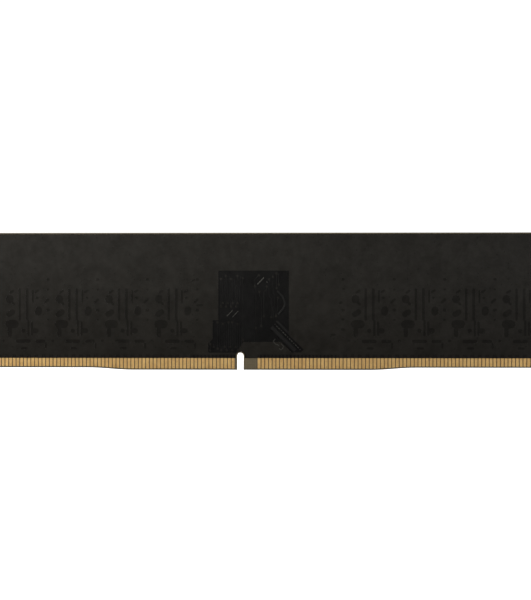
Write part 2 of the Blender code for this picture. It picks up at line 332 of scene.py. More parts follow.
def laminate_material():
    """Glass cloth in epoxy: woven on its faces, in fine layers along its cut edges."""
    recipe = Recipe("glass_laminate", 0.5)
    layers = multiplied(recipe.stripes(0.19, "Y"), 0.3)
    mixed = added(multiplied(recipe.weave(), 0.5), layers)
    mixed = added(mixed, multiplied(recipe.noise(0.5, 5.0), 0.35))
    recipe.colour(mixed, [(0.15, (0.038, 0.028, 0.012)), (0.85, (0.088, 0.067, 0.030))])
    recipe.rough(recipe.noise(0.3), 0.45, 0.7)
    recipe.bump(mixed, 0.01, 0.6)
    return recipe.material


def gold_material():
    """Hard gold plating, with fine upright rub marks and faint clouding."""
    recipe = Recipe("gold_plating", 0.3, metallic=1.0)
    clouds = recipe.noise(1.6, 4.0)
    recipe.colour(clouds, [(0.3, (0.61, 0.378, 0.148)), (0.7, (0.73, 0.498, 0.205))])
    rubs = recipe.noise(0.05, 3.0, (1.0, 1.0, 0.06))
    recipe.rough(rubs, 0.24, 0.42)
    recipe.bump(rubs, 0.0015, 0.4)
    return recipe.material


def metal_material(name, dark, light, low, high, feature=0.3):
    recipe = Recipe(name, 0.3, metallic=1.0)
    recipe.colour(recipe.noise(feature, 4.0), [(0.3, dark), (0.7, light)])
    recipe.rough(recipe.noise(feature / 2), low, high)
    recipe.bump(recipe.noise(feature / 3), 0.004, 0.4)
    return recipe.material


def body_material(name, dark, light, low, high, grain=0.06):
    """A moulded or fired body with a fine grain."""
    recipe = Recipe(name, 0.5)
    speckle = recipe.noise(grain, 4.0)
    recipe.colour(speckle, [(0.35, dark), (0.75, light)])
    recipe.rough(recipe.noise(grain * 6, 4.0), low, high)
    recipe.bump(speckle, 0.006, 0.5)
    return recipe.material


MASK_COPPER = mask_material(
    "mask_over_copper", (0.0044, 0.0038, 0.0027), (0.0066, 0.0058, 0.0044), 0.18, 0.31, 0.38
)
MASK_TRACE = mask_material(
    "mask_over_traces", (0.0042, 0.0042, 0.0042), (0.0056, 0.0056, 0.0056), 0.16, 0.31, 0.38
)
MASK_FINE = mask_material(
    "mask_over_fine_traces", (0.0034, 0.0034, 0.0035), (0.0046, 0.0046, 0.0046), 0.115, 0.31, 0.38
)
MASK_STRIP = mask_material(
    "mask_over_strip", (0.0021, 0.0021, 0.0023), (0.0033, 0.0033, 0.0035), 0.076, 0.36, 0.46
)
MASK_FAINT = mask_material(
    "mask_over_inner_plane", (0.0030, 0.0027, 0.0021), (0.0045, 0.0040, 0.0031), 0.115, 0.33, 0.42
)
# painted glints: a lighter grey for short lines over raised copper, standing in for the light they catch
MASK_PAINTED_GLINT = mask_material(
    "mask_painted_glint", (0.018, 0.018, 0.016), (0.028, 0.028, 0.025), 0.26, 0.30, 0.38
)
MASK_LAMINATE = mask_material(
    "mask_over_laminate", (0.0019, 0.0019, 0.0021), (0.0029, 0.0029, 0.0030), 0.066, 0.40, 0.50
)
LAMINATE = laminate_material()
GOLD = gold_material()
COPPER = metal_material("copper", (0.62, 0.28, 0.16), (0.78, 0.40, 0.25), 0.25, 0.4)
SOLDER = metal_material("solder", (0.50, 0.50, 0.51), (0.70, 0.70, 0.71), 0.22, 0.42, 0.15)
TIN = metal_material("tin_plating", (0.56, 0.56, 0.57), (0.76, 0.75, 0.74), 0.3, 0.5, 0.2)
SILICON = metal_material("silicon", (0.20, 0.21, 0.25), (0.28, 0.29, 0.34), 0.08, 0.18)
MOULD = body_material("mould_compound", (0.012, 0.012, 0.013), (0.026, 0.026, 0.028), 0.50, 0.62)
SUBSTRATE = body_material("package_substrate", (0.012, 0.030, 0.016), (0.022, 0.048, 0.026), 0.4, 0.5)
CERAMIC = body_material("capacitor_ceramic", (0.20, 0.125, 0.075), (0.30, 0.20, 0.13), 0.35, 0.5, 0.05)
ALUMINA = body_material("resistor_alumina", (0.62, 0.62, 0.60), (0.78, 0.78, 0.76), 0.5, 0.6, 0.05)
GLAZE = body_material("resistor_glaze", (0.008, 0.008, 0.010), (0.018, 0.018, 0.022), 0.2, 0.35, 0.1)
INK = body_material("marking_ink", (0.50, 0.50, 0.48), (0.62, 0.62, 0.60), 0.55, 0.7, 0.08)


# ---- Outlines, as lists of (x, z) points in millimetres ----


def arc(centre_x, centre_z, radius, start, end, steps=4):
    angles = [math.radians(start + (end - start) * i / steps) for i in range(steps + 1)]
    return [(centre_x + radius * math.cos(a), centre_z + radius * math.sin(a)) for a in angles]


def edge_height(x):
    """The contact edge's height: flat in the middle and at the ends, with an S-curve between them."""
    start, end = STEP_RIGHT if x > 0 else STEP_LEFT
    share = min(max((abs(x) - start) / (end - start), 0.0), 1.0)
    return EDGE_STEP * (1 - math.cos(math.pi * share)) / 2


def mirrored(points):
    return [(-x, z) for x, z in reversed(points)]


def upper_outline(inset):
    """The board's right side, top and left side, counter-clockwise, this far inside its edge."""
    side = HALF_LENGTH - inset
    deep = HALF_LENGTH - LATCH_DEPTH - inset
    corner = LATCH_CORNER + inset
    points = []
    for low, high in LATCH_SPANS:
        low, high = low - inset, high + inset
        points.append((side, low))
        points += arc(deep + corner, low + corner, corner, 270, 180)
        points += arc(deep + corner, high - corner, corner, 180, 90)
        points.append((side, high))
    points += arc(side - TOP_CORNER, BOARD_TOP - inset - TOP_CORNER, TOP_CORNER, 0, 90)
    return points + mirrored(points)


def key_gap(clearance, bottom):
    """A cut round the key notch, from left to right, wider than the notch by this much on each side."""
    radius = KEY_RADIUS + clearance
    top = arc(KEY_X, KEY_CENTRE_Z, radius, 180, 0, 12)
    return [(KEY_X - radius, bottom), *top, (KEY_X + radius, bottom)]


def sheet_outline(inset, bottom, lower_edge):
    """A layer that covers the board above the contacts, with this edge between its lower corners."""
    side = HALF_LENGTH - inset
    return [(-side, bottom), *lower_edge, (side, bottom), *upper_outline(inset)]


def stadium(x, z, length, width, angle=0.0, steps=4):
    """A slot with round ends, centred on (x, z). The angle is in degrees from +X."""
    run = max(length - width, 0.0) / 2
    points = arc(run, 0.0, width / 2, -90, 90, steps) + arc(-run, 0.0, width / 2, 90, 270, steps)
    turn = math.radians(angle)
    cos, sin = math.cos(turn), math.sin(turn)
    return [(x + px * cos - pz * sin, z + px * sin + pz * cos) for px, pz in points]


def dot(x, z, width, steps=4):
    return stadium(x, z, width, width, 0.0, steps)


def rectangle(x, z, width, height):
    left, right = x - width / 2, x + width / 2
    low, high = z - height / 2, z + height / 2
    return [(left, low), (right, low), (right, high), (left, high)]


# ---- Mesh tools ----


def finish_piece(name, mesh, materials, replaces=(), place=(0.0, 0.0, 0.0), turn=0.0):
    """Links a piece, gives it its materials, and makes it ride on the board. Pieces may share a mesh."""
    piece = add_object(name, mesh)
    if not mesh.materials:
        mesh.name = name
        for material in materials:
            mesh.materials.append(material)
    piece.location = [value * MM for value in place]
    piece.rotation_euler.y = math.radians(turn)
    if replaces:
        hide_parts(*replaces)
    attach(piece, "root")


def mask_piece(name, mesh, *materials, replaces=()):
    finish_piece(name, mesh, materials, replaces)


def plain_mesh(shape):
    """A shape's mesh. The shape is used up."""
    mesh = bpy.data.meshes.new("mesh")
    shape.to_mesh(mesh)
    shape.free()
    return mesh


def outward_mesh(shape):
    """A shape's mesh, with all its faces turned outwards."""
    bmesh.ops.recalc_face_normals(shape, faces=shape.faces)
    return plain_mesh(shape)


def smoothed(mesh):
    mesh.shade_smooth()
    mesh.set_sharp_from_angle(angle=SMOOTH_ANGLE)
    return mesh


def evaluated_mesh(item):
    """The mesh that a linked object has after its modifiers, without materials."""
    bpy.context.view_layer.update()
    graph = bpy.context.evaluated_depsgraph_get()
    mesh = bpy.data.meshes.new_from_object(item.evaluated_get(graph))
    mesh.materials.clear()
    return mesh


def curve_mesh(curve):
    """The mesh of a curve that lies in the board's plane. Its own Z is the way out of the back face."""
    guide = add_object("guide", curve)
    guide.rotation_euler.x = math.pi / 2
    mesh = evaluated_mesh(guide)
    mesh.transform(guide.matrix_world)
    bpy.data.objects.remove(guide, do_unlink=True)
    bpy.data.curves.remove(curve)
    return mesh


def add_spline(curve, points, width=1.0, closed=False):
    spline = curve.splines.new("POLY")
    spline.points.add(len(points) - 1)
    spline.use_cyclic_u = closed
    for point, (x, z) in zip(spline.points, points):
        point.co = (x * MM, z * MM, 0.0, 1.0)
        point.radius = width


def plate_mesh(outline, y_low, y_high):
    """A flat piece between two heights in Y."""
    curve = bpy.data.curves.new("plate", "CURVE")
    curve.dimensions = "2D"
    curve.fill_mode = "BOTH"
    curve.extrude = (y_high - y_low) / 2 * MM
    add_spline(curve, outline, closed=True)
    shape = bmesh.new()
    mesh = curve_mesh(curve)
    shape.from_mesh(mesh)
    bpy.data.meshes.remove(mesh)
    bmesh.ops.remove_doubles(shape, verts=shape.verts, dist=1e-7)
    bmesh.ops.translate(shape, verts=shape.verts, vec=(0.0, (y_low + y_high) / 2 * MM, 0.0))
    widen_triangles(shape)
    return outward_mesh(shape)


def widen_triangles(shape):
    """Divides a plate's two flat faces again, because the filled curve joins level points with slivers."""
    flat = []
    for face in shape.faces:
        heights = [vertex.co.y for vertex in face.verts]
        if max(heights) - min(heights) < 1e-6:
            flat.append(face)
    inner = [edge for edge in shape.edges if all(face in flat for face in edge.link_faces)]
    bmesh.ops.beautify_fill(shape, faces=flat, edges=inner, method="ANGLE")


def prisms(loops, y_low, y_high, rim=0.0, side=BACK):
    """One mesh of many separate flat prisms. A rim rounds off the edge of the outer face a little."""
    shape = bmesh.new()
    base_y, top_y = side * y_low * MM, side * y_high * MM
    bases = []
    for loop in loops:
        corners = [shape.verts.new((x * MM, base_y, z * MM)) for x, z in loop]
        bases.append(shape.faces.new(corners))
    raised = bmesh.ops.extrude_face_region(shape, geom=bases, use_keep_orig=True)["geom"]
    top_corners = [item for item in raised if isinstance(item, bmesh.types.BMVert)]
    tops = [item for item in raised if isinstance(item, bmesh.types.BMFace)]
    bmesh.ops.translate(shape, verts=top_corners, vec=(0.0, top_y - base_y, 0.0))
    bmesh.ops.recalc_face_normals(shape, faces=shape.faces)
    if rim:
        bmesh.ops.translate(shape, verts=top_corners, vec=(0.0, -side * rim * MM, 0.0))
        bmesh.ops.inset_individual(shape, faces=tops, thickness=rim * MM, depth=rim * MM)
    return outward_mesh(shape)


def cut_out(mesh, cuts, cuts_cross=False):
    """A mesh with the cuts taken out of it. They may cross each other, if that is said."""
    body, cutter = add_object("body", mesh), add_object("cutter", cuts)
    modifier = body.modifiers.new("cut", "BOOLEAN")
    modifier.object = cutter
    modifier.solver = "EXACT"
    modifier.use_self = cuts_cross
    result = evaluated_mesh(body)
    for item in (body, cutter):
        bpy.data.objects.remove(item, do_unlink=True)
    return result


def ribbon_mesh(routes, side, floor, height):
    """Traces: low ribbons with sloping sides along (width, points) routes, from the floor outwards."""
    curve = bpy.data.curves.new("ribbons", "CURVE")
    curve.dimensions = "3D"
    curve.bevel_depth = 0.5 * MM
    curve.bevel_resolution = 1
    curve.use_fill_caps = True
    for width, points in routes:
        add_spline(curve, points, width)
    mesh = curve_mesh(curve)
    slope = 0.25 * min(width for width, _ in routes) * MM
    for vertex in mesh.vertices:
        share = min(max(vertex.co.y * side / slope, 0.0), 1.0)
        vertex.co.y = side * (floor + height * share) * MM
    return mesh


def copies(template, places):
    """A small mesh's copies at ((x, y, z), degrees) places, as one shape. The small mesh is used up."""
    whole = bmesh.new()
    for place, turn in places:
        before = len(whole.verts)
        whole.from_mesh(template)
        whole.verts.ensure_lookup_table()
        matrix = Matrix.Translation(Vector(place) * MM) @ Matrix.Rotation(math.radians(turn), 4, "Y")
        bmesh.ops.transform(whole, matrix=matrix, verts=whole.verts[before:])
    bpy.data.meshes.remove(template)
    return whole


def painted(shape, index):
    """A shape whose faces all take the material with this index."""
    for face in shape.faces:
        face.material_index = index
    return shape


def box_shape(size, centre=(0.0, 0.0, 0.0), bevel=0.0, segments=2, material_index=0):
    """A box with rounded edges."""
    shape = bmesh.new()
    bmesh.ops.create_cube(shape, size=1.0)
    bmesh.ops.scale(shape, verts=shape.verts, vec=[value * MM for value in size])
    bmesh.ops.translate(shape, verts=shape.verts, vec=[value * MM for value in centre])
    if bevel:
        rounding = {"offset": bevel * MM, "segments": segments, "profile": 0.5, "affect": "EDGES"}
        bmesh.ops.bevel(shape, geom=shape.edges[:], **rounding)
    return painted(shape, material_index)


def disc_shape(inner_radius, outer_radius, thickness, place, segments):
    """A round plate that faces +Y, with its middle at a place in millimetres."""
    shape = bmesh.new()
    sizes = {"radius1": inner_radius * MM, "radius2": outer_radius * MM, "depth": thickness * MM}
    bmesh.ops.create_cone(shape, cap_ends=True, segments=segments, **sizes)
    matrix = Matrix.Translation(Vector(place) * MM) @ Matrix.Rotation(-math.pi / 2, 4, "X")
    bmesh.ops.transform(shape, matrix=matrix, verts=shape.verts)
    return shape


def loft(rings):
    """A closed shape through rings of points, which have as many points each."""
    shape = bmesh.new()
    rings = [[shape.verts.new([value * MM for value in point]) for point in ring] for ring in rings]
    for near, far in zip(rings, rings[1:]):
        for index in range(len(near)):
            after = (index + 1) % len(near)
            shape.faces.new((near[index], near[after], far[after], far[index]))
    shape.faces.new(rings[0])
    shape.faces.new(rings[-1])
    bmesh.ops.recalc_face_normals(shape, faces=shape.faces)
    return shape


def merged(shapes):
    """Several small shapes as one smooth mesh."""
    whole = bmesh.new()
    for shape in shapes:
        part = plain_mesh(shape)
        whole.from_mesh(part)
        bpy.data.meshes.remove(part)
    return smoothed(outward_mesh(whole))


# ---- What both faces share ----

BASE_FLOOR = LAMINATE_Y + 0.002
BASE_TOP = LAMINATE_Y + 0.027  # the mask where there is no copper under it
POUR_TOP = MASK_Y - 0.012  # the mask over the wide copper
TRACE_FLOOR = BASE_TOP - 0.002
TRACE_HEIGHT = POUR_TOP - BASE_TOP - 0.003
OVERLAP = 0.004  # what is raised starts this far inside what it stands on
FILM = 0.002  # a patch stands this far out of the mask round it
CUT_MARGIN = 0.05
MASK_RIM = 0.006  # how far the mask's raised edges are rounded off
VIA_FLOOR = POUR_TOP - 0.002
VIA_HEIGHT = MASK_Y - POUR_TOP
MASK_INSET = 0.26  # the mask stops a little short of the routed edge
POUR_INSET = 0.32
POUR_BOTTOM = MASK_BOTTOM + 0.005
KEY_CLEARANCE = 0.5
KEY_ZONE = 16.0  # nearer to the middle than this, every contact carries a signal
NECK_BEND = (2.8, 3.0)  # where a neck starts and stops narrowing
NECK_TOP = 3.12  # the vias just above the contacts
NECK_GAP_TOP = 3.42
NECK_GAP = 0.38  # half the width of the gap round a contact's neck
VIA_RADIUS = 0.24
VIA_SPACING = 2.5 * VIA_RADIUS
END_VIA_SPACING = 3.5 * VIA_RADIUS  # for the vias at the traces' ends
TRACE_WIDTH = 0.2
TRACE_PITCH = 0.42
SERPENTINE_WIDTH = 0.16
VIA_PROFILE = ((1.0, 0.0), (0.78, 0.8), (0.55, 1.0), (0.3, 0.5), (0.12, 0.3))  # shares of radius, height
VIA_STEPS = 12
VIA_DIMPLE = 0.6 * VIA_RADIUS


def contact_xs(row):
    count, first, way = CONTACT_ROWS[row]
    return sorted(first + way * PITCH * number for number in range(count))


def signal_contacts():
    """The contacts that aren't joined to the pour: every other one, and all those near the key."""
    found = []
    for row in CONTACT_ROWS:
        xs = contact_xs(row)
        found += [x for number, x in enumerate(xs) if number % 2 or abs(x) < KEY_ZONE]
    return sorted(found)


def comb_points():
    """The pour's lower edge from left to right, cut back round each signal contact's neck and the key."""
    runs = []
    for x in signal_contacts():
        if runs and x - runs[-1][1] < 1.5 * PITCH:  # neighbours share one gap
            runs[-1][1] = x
        else:
            runs.append([x, x])
    points = []
    for first, last in runs:
        left, right = first - NECK_GAP, last + NECK_GAP
        points += [(left, POUR_BOTTOM), (left, NECK_GAP_TOP), (right, NECK_GAP_TOP), (right, POUR_BOTTOM)]
    before = [point for point in points if point[0] < KEY_X]
    after = [point for point in points if point[0] > KEY_X]
    return [*before, *key_gap(KEY_CLEARANCE, POUR_BOTTOM), *after]


def neck_outline(x):
    """A signal contact's covered end, that narrows to the trace under its via."""
    wide, thin = CONTACT_WIDTH / 2 + 0.01, TRACE_WIDTH / 2
    right = [(wide, POUR_BOTTOM), (wide, NECK_BEND[0]), (thin, NECK_BEND[1]), (thin, NECK_TOP)]
    left = [(-offset, z) for offset, z in reversed(right)]
    return [(x + offset, z) for offset, z in [left[-1], *right, *left[:-1]]]


def contact_pad(x):
    """One gold contact, with rounded lower corners that follow the curved edge."""
    half, corner = CONTACT_WIDTH / 2 + CONTACT_FOOT, 0.1
    left = edge_height(x - half) + CONTACT_START
    right = edge_height(x + half) + CONTACT_START
    top = MASK_BOTTOM + 0.03
    points = arc(x - half + corner, left + corner, corner, 180, 270, 3)
    points += arc(x + half - corner, right + corner, corner, 270, 360, 3)
    return [*points, (x + half, top), (x - half, top)]


def via_template():
    """A via under the mask: a low ring round a dimple, drawn out along +Y."""
    rings = []
    for share, height in VIA_PROFILE:
        circle = arc(0.0, 0.0, share * VIA_RADIUS, 0, 360, VIA_STEPS)[:-1]
        rings.append([(x, height * VIA_HEIGHT, z) for x, z in circle])
    shape = loft(rings)
    for face in shape.faces:
        reach = max(math.hypot(vertex.co.x, vertex.co.z) for vertex in face.verts)
        face.material_index = int(reach < VIA_DIMPLE * MM)
    return plain_mesh(shape)


def via_field(places, side):
    """All the vias of a face in one mesh."""
    field = copies(via_template(), [((x, VIA_FLOOR, z), 0.0) for x, z in places])
    if side == BACK:
        bmesh.ops.scale(field, verts=field.verts, vec=(1.0, -1.0, 1.0))
    return smoothed(outward_mesh(field))


def offset_route(points, distance):
    """A route moved sideways, with its corners kept."""
    normals = []
    for (x, z), (next_x, next_z) in zip(points, points[1:]):
        length = math.hypot(next_x - x, next_z - z)
        normals.append(((z - next_z) / length, (next_x - x) / length))
    moved = []
    for (x, z), before, after in zip(points, [normals[0], *normals], [*normals, normals[-1]]):
        nx, nz = (before[0] + after[0]) / 2, (before[1] + after[1]) / 2
        stretch = distance / (nx * nx + nz * nz)
        moved.append((x + nx * stretch, z + nz * stretch))
    return moved


def bundle(count, points):
    """Traces side by side, centred on a route."""
    middle = (count - 1) / 2
    offsets = [(number - middle) * TRACE_PITCH for number in range(count)]
    return [(TRACE_WIDTH, offset_route(points, offset)) for offset in offsets]


def serpentine(x, low, high, swing):
    """A thin trace that runs up in square waves, to make it longer."""
    pitch, cut = TRACE_PITCH, TRACE_PITCH / 4
    points = [(x, low)]
    z, way = low + pitch, 1
    while z + pitch < high:
        far = x + way * swing
        points += [(x, z - cut), (x + way * cut, z), (far - way * cut, z), (far, z + cut)]
        points += [(far, z + pitch - cut), (far - way * cut, z + pitch), (x + way * cut, z + pitch)]
        points += [(x, z + pitch + cut)]
        z += 2 * pitch
    points.append((x, high))
    return SERPENTINE_WIDTH, points


def route_ends(routes):
    return [point for _, points in routes for point in (points[0], points[-1])]


def clear_of(places, taken, distance):
    """The places that keep this far from each other and from those that are taken."""
    kept = []
    for x, z in places:
        if all(math.hypot(x - a, z - b) >= distance for a, b in [*taken, *kept]):
            kept.append((x, z))
    return kept


def make_face(face, side, voids, routes, trace_material, vias):
    """One face's solder mask: over bare laminate, over the pour, over traces, over vias."""
    heights = sorted((side * BASE_FLOOR, side * BASE_TOP))
    lower_edge = key_gap(MASK_INSET, MASK_BOTTOM)
    sheet = plate_mesh(sheet_outline(MASK_INSET, MASK_BOTTOM, lower_edge), *heights)
    mask_piece(f"{face}_mask", sheet, MASK_LAMINATE, replaces=[f"{face}_solder_mask"])

    low, high = sorted((side * (BASE_TOP - OVERLAP), side * POUR_TOP))
    pour = plate_mesh(sheet_outline(POUR_INSET, POUR_BOTTOM, comb_points()), low, high)
    pour = cut_out(pour, prisms(voids, low - CUT_MARGIN, high + CUT_MARGIN, side=1), cuts_cross=True)
    mask_piece(f"{face}_mask_over_pour", pour, MASK_COPPER, replaces=[f"{face}_copper_layer"])

    outlines = [neck_outline(x) for x in signal_contacts()]
    necks = prisms(outlines, BASE_TOP - OVERLAP, POUR_TOP, MASK_RIM, side)
    mask_piece(f"{face}_mask_over_necks", necks, MASK_COPPER)
    traces = ribbon_mesh(routes, side, TRACE_FLOOR, TRACE_HEIGHT)
    mask_piece(f"{face}_mask_over_traces", traces, trace_material)

    ends = clear_of(route_ends(routes), [], END_VIA_SPACING)
    neck_vias = [(x, NECK_TOP) for x in signal_contacts()]
    spread = clear_of(vias, ends + neck_vias, VIA_SPACING)
    field = via_field(neck_vias + ends + spread, side)
    mask_piece(f"{face}_mask_over_vias", field, MASK_COPPER, MASK_FAINT)


def make_contacts():
    for face, side in (("back", BACK), ("front", FRONT)):
        for row in CONTACT_ROWS:
            name = f"{face}_contacts_{row}"
            pads = [contact_pad(x) for x in contact_xs(row)]
            mesh = prisms(pads, BASE_FLOOR, COPPER_Y, CONTACT_FOOT, side)
            finish_piece(name, mesh, [GOLD], [f"{name}_row"])


# ---- The back face ----

WINDOW = [  # the opening in the pour behind the middle of the board
    (-10.6, 22.6), (-10.6, 11.3), (-11.9, 11.3), (-11.9, 7.0), (-12.9, 6.0), (-12.9, 3.9), (-6.4, 3.9),
    (-4.9, 6.35), (3.7, 6.35), (6.1, 3.95), (8.2, 3.95), (8.9, 4.6), (5.5, 7.95), (5.5, 22.6),
]
# The gaps in the pour round each package's solder balls: offset in X, Z, length, width, degrees from +X
FAN_OUT = (
    (-0.8, 14.9, 7.4, 0.57, 90),
    (0.9, 14.9, 7.4, 0.63, 90),
    (-2.6, 17.8, 1.3, 0.52, 35),
    (-3.1, 16.1, 2.0, 1.8, 90),
    (-2.5, 15.3, 1.5, 0.57, -48),
    (-2.9, 12.9, 2.3, 1.3, 33),
    (-2.6, 10.4, 3.2, 1.89, 0),
    (-3.1, 8.6, 2.4, 1.01, 90),
    (0.0, 8.9, 1.0, 1.01, 0),
    (1.15, 9.5, 3.7, 0.52, 90),
    (2.0, 9.4, 3.3, 0.52, 90),
    (2.7, 8.9, 1.7, 1.2, 0),
    (2.2, 16.7, 3.0, 0.4, 90),
    (3.1, 17.9, 1.2, 0.52, 30),
    (3.2, 16.4, 0.7, 0.57, 0),
    (3.5, 13.4, 2.2, 1.59, 80),
    (5.7, 20.6, 0.8, 0.63, 0),
    (5.7, 18.3, 0.6, 0.46, 20),
    (5.4, 15.7, 1.5, 0.57, 42),
    (5.7, 13.6, 0.9, 0.69, 0),
    (5.7, 11.4, 0.6, 0.46, 0),
    (0.0, 6.5, 3.4, 0.8, 0),
    (3.9, 6.5, 2.3, 0.75, 0),
    (-4.6, 6.6, 0.7, 0.57, 0),
    (0.2, 4.9, 1.6, 0.5, 0),
    (5.2, 5.5, 1.4, 0.45, 90),
)
LONE_VOIDS = (  # X, Z, length, width, degrees
    (17.8, 20.6, 0.8, 0.6, 0),
    (18.0, 18.4, 0.7, 0.4, 0),
    (17.3, 15.3, 0.9, 0.6, 30),
    (17.8, 13.6, 0.9, 0.6, 0),
    (17.8, 11.5, 0.7, 0.5, 0),
    (17.8, 9.2, 0.9, 0.6, 0),
    (15.6, 8.0, 1.2, 0.5, 0),
    (-14.8, 14.7, 1.6, 0.5, 0),
    (-16.3, 20.4, 1.0, 0.4, 25),
)
COPPER_STRIP = rectangle(-3.63, 13.05, 2.6, 12.9)
WINDOW_PATCHES = [rectangle(-7.6, 16.8, 5.4, 11.2), rectangle(-8.4, 7.5, 6.2, 6.8)]  # a plane shows here
FAN_OUT_PATCHES = [rectangle(-39.4, 12.8, 52.0, 17.2), rectangle(38.0, 12.8, 54.8, 17.2)]
END_MARGIN = 3.5  # the fan-out gaps keep this far from the board's ends


def fan_out_voids():
    voids = [WINDOW]
    for x in PACKAGE_XS:
        for offset, z, length, width, angle in FAN_OUT:
            if abs(x + offset) < HALF_LENGTH - END_MARGIN:
                voids.append(stadium(x + offset, z, length, width, angle))
    return voids + [stadium(*row) for row in LONE_VOIDS]


WINDOW_REACH = (-13.4, 10.4, 23.2)  # no other vias between these two X and under this Z
WINDOW_TRACES = (  # width, then the points that the trace runs through
    (0.2, [(-4.98, 6.7), (-4.98, 20.9)]),
    (0.2, [(-2.2, 19.0), (-2.2, 20.6), (-1.3, 21.5)]),
    (0.2, [(0.5, 19.0), (0.5, 18.4), (-0.2, 17.7), (-0.2, 12.2)]),
    (0.2, [(-1.2, 17.8), (-1.2, 16.9), (-0.75, 16.4), (-0.75, 10.0)]),
    (0.2, [(1.0, 20.6), (1.0, 16.8), (1.5, 16.3), (1.5, 12.0)]),
    (0.2, [(1.9, 21.2), (1.9, 17.6), (2.3, 17.2), (2.3, 14.6), (1.9, 14.2), (1.9, 11.8)]),
    (0.18, [(-2.0, 9.5), (-2.0, 18.8)]),
    (0.26, [(2.7, 21.9), (2.7, 18.6)]),
    (0.26, [(3.2, 21.9), (3.2, 19.4)]),
    (0.2, [(3.0, 16.4), (3.0, 13.4), (2.6, 13.0), (2.6, 12.2)]),
)
WIDE_BANDS = [  # the slanting bands at the window's lower right, and the bent one on its right
    (1.1, [(1.55, 9.75), (6.95, 4.35)]),
    (0.62, [(2.7, 11.15), (6.2, 7.65)]),
    (0.5, [(2.9, 18.0), (4.1, 16.7), (4.55, 15.6), (4.55, 14.7), (4.1, 13.8), (3.1, 12.6)]),
]
# where a dotted line of painted glints runs along the slanting bands, and how many dashes it has
DOTTED_LINE = ((2.1, 10.6), (8.3, 4.4))
DOTS = 13
STEPPED_HEIGHT = 0.014
STEPPED_LINES = [  # on the pour beside the slanting bands: painted highlights along the pour's edge, drawn as low ribbons
    [(2.4, 7.05), (2.05, 6.6), (2.05, 6.3), (2.6, 5.75), (2.95, 5.75), (3.3, 5.4)],
    [(3.75, 5.95), (4.3, 5.4), (4.1, 4.9), (3.7, 4.5), (3.3, 4.9)],
]


def window_routes():
    """The traces that the open window behind the middle of the board shows."""
    routes = []
    for number in range(12):  # upright traces on the left: every third one is wider
        x = -9.95 + number * 0.38
        top = 21.4 if number % 2 else 20.7
        bottom = 15.2 if number % 3 else 14.4
        jog = 0.3 if number > 8 else 0.0
        width = 0.12 if number % 3 else 0.26
        routes.append((width, [(x + jog, top), (x + jog, 19.4), (x, 19.1), (x, bottom)]))
    for number in range(18):  # upright traces in the window's lower left
        x = -12.45 + number * 0.42
        if number in (1, 3) or x > -5.3:
            continue
        low = 4.4 + 0.4 * (number % 3)
        high = 10.8 - 0.4 * (number % 2) if x > -11.6 else 5.9
        routes.append((0.12, [(x, high), (x, low)]))
    return [*routes, *WINDOW_TRACES]


def painted_glint_routes():
    """Short raised lines over copper, coloured lighter as painted glints that stand in for the light they
    catch.
    """
    routes = [(0.32, [(-1.7, 19.45), (-0.15, 21.0)]), (0.24, [(0.35, 20.0), (0.65, 20.0)])]
    routes += [(0.17, [(-8.6, 12.2), (-7.3, 13.6)]), (0.17, [(-7.35, 12.0), (-6.05, 13.4)])]
    (x_start, z_start), (x_end, z_end) = DOTTED_LINE
    for number in range(DOTS):
        share = (number + 0.5) / DOTS
        x, z = x_start + (x_end - x_start) * share, z_start + (z_end - z_start) * share
        half = 0.16 if number % 3 else 0.07
        routes.append((0.22, [(x - half, z + half), (x + half, z - half)]))
    return routes


VIA_MARGIN = 3.0  # from the board's ends
EDGE_VIA_PITCH = 3.1
SCATTER_BANDS = ((4.8, 8.0), (19.0, 29.6))  # the heights between which vias are scattered
BACK_SCATTER, FRONT_SCATTER = 170, 150


def stitching(scattered):
    """Vias that tie the pour to the planes: along the top edge, between packages, and scattered."""
    places = []
    x = -HALF_LENGTH + 3.4
    while x < HALF_LENGTH - VIA_MARGIN:
        places.append((x, BOARD_TOP - 1.1))
        x += EDGE_VIA_PITCH
    for package_x in PACKAGE_XS:
        for row in range(4):
            for way in (-1, 1):
                places.append((package_x + way * (1.9 + 0.8 * (row % 2)), 19.4 + 1.25 * row))
        for row in range(6):
            places.append((package_x + 4.6, 8.6 + 2.0 * row))
    for _ in range(scattered):
        x = draws.uniform(-HALF_LENGTH + VIA_MARGIN, HALF_LENGTH - VIA_MARGIN)
        places.append((x, draws.choice([draws.uniform(*band) for band in SCATTER_BANDS])))
    return places


def kept_out(x, z, reach):
    left, right, top = reach
    return left < x < right and z < top


def make_back_face():
    vias = [(x, z) for x, z in stitching(BACK_SCATTER) if not kept_out(x, z, WINDOW_REACH)]
    make_face("back", BACK, fan_out_voids(), window_routes(), MASK_FINE, vias)
    low = BASE_TOP - OVERLAP
    strip = prisms([COPPER_STRIP], low, POUR_TOP - OVERLAP, MASK_RIM)
    mask_piece("back_mask_over_strip", strip, MASK_STRIP)
    mask_piece("back_mask_over_inner_plane", prisms(WINDOW_PATCHES, low, BASE_TOP + FILM), MASK_STRIP)
    mask_piece("back_mask_behind_fan_outs", prisms(FAN_OUT_PATCHES, low, BASE_TOP + FILM), MASK_FAINT)
    bands = ribbon_mesh(WIDE_BANDS, BACK, TRACE_FLOOR, TRACE_HEIGHT)
    mask_piece("back_mask_over_bands", bands, MASK_TRACE)
    # painted glints: short raised lines over copper, coloured a lighter grey to stand in for the light
    # they catch
    glint_ribbons = ribbon_mesh(painted_glint_routes(), BACK, TRACE_FLOOR, TRACE_HEIGHT + FILM)
    mask_piece("back_mask_painted_glints", glint_ribbons, MASK_PAINTED_GLINT)
    # painted highlights: low stepped ribbons along the pour's edge, in the same lighter grey
    routes = [(TRACE_WIDTH, points) for points in STEPPED_LINES]
    stepped = ribbon_mesh(routes, BACK, POUR_TOP - OVERLAP, STEPPED_HEIGHT)
    mask_piece("back_mask_stepped_painted_highlights", stepped, MASK_PAINTED_GLINT)


# ---- The front face ----

